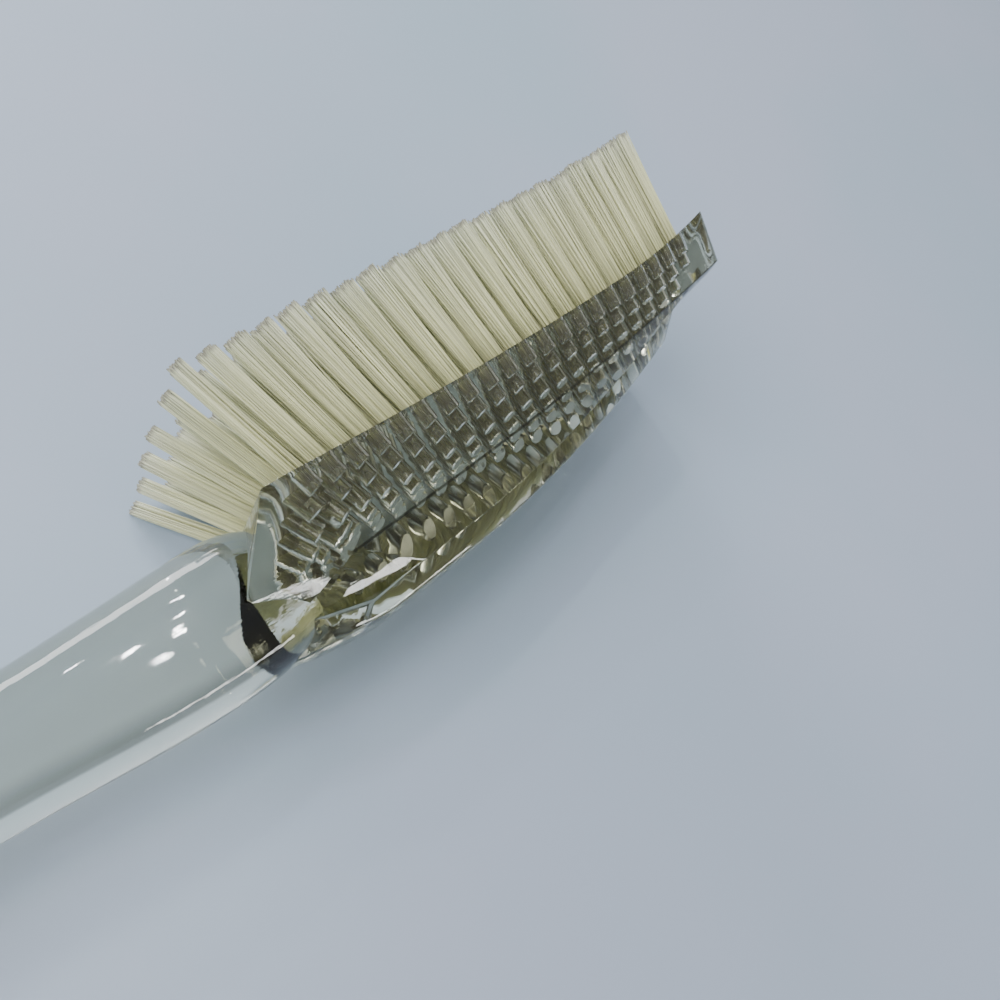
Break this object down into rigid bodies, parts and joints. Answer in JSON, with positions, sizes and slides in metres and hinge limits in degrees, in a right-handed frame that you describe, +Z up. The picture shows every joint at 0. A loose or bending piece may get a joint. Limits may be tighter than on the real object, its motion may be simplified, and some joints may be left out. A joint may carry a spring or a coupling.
{
  "type": "hair brush",
  "caption": "Grooming brush with a faceted clear acrylic head, a rounded clear handle and fanned cream nylon tufts.",
  "frame": {"origin": "bottom centre of the bounding box, at the height of the flat of the back that the brush lies on", "axes": "+Z up, the way the bristles point; +X along the brush from the end of the handle to the toe of the head; +Y across it"},
  "size_m": [0.201, 0.0396, 0.0388],
  "materials": {
    "clear_acrylic": "clear, glossy, finely scratched",
    "block_acrylic": "clear with a faint olive tint, glossy",
    "nylon_bristle": "satin, cream"
  },
  "bodies": {
    "root": {"handle_and_back": "clear_acrylic", "tuft_block": "block_acrylic", "tuft_row_01": "nylon_bristle", "tuft_row_02": "nylon_bristle", "tuft_row_03": "nylon_bristle", "tuft_row_04": "nylon_bristle", "tuft_row_05": "nylon_bristle", "tuft_row_06": "nylon_bristle", "tuft_row_07": "nylon_bristle", "tuft_row_08": "nylon_bristle", "tuft_row_09": "nylon_bristle", "tuft_row_10": "nylon_bristle", "tuft_row_11": "nylon_bristle", "tuft_row_12": "nylon_bristle", "tuft_row_13": "nylon_bristle", "tuft_row_14": "nylon_bristle", "tuft_row_15": "nylon_bristle", "tuft_row_16": "nylon_bristle", "tuft_row_17": "nylon_bristle", "tuft_row_18": "nylon_bristle", "tuft_row_19": "nylon_bristle", "tuft_row_20": "nylon_bristle", "tuft_row_21": "nylon_bristle"}
  },
  "joints": []
}
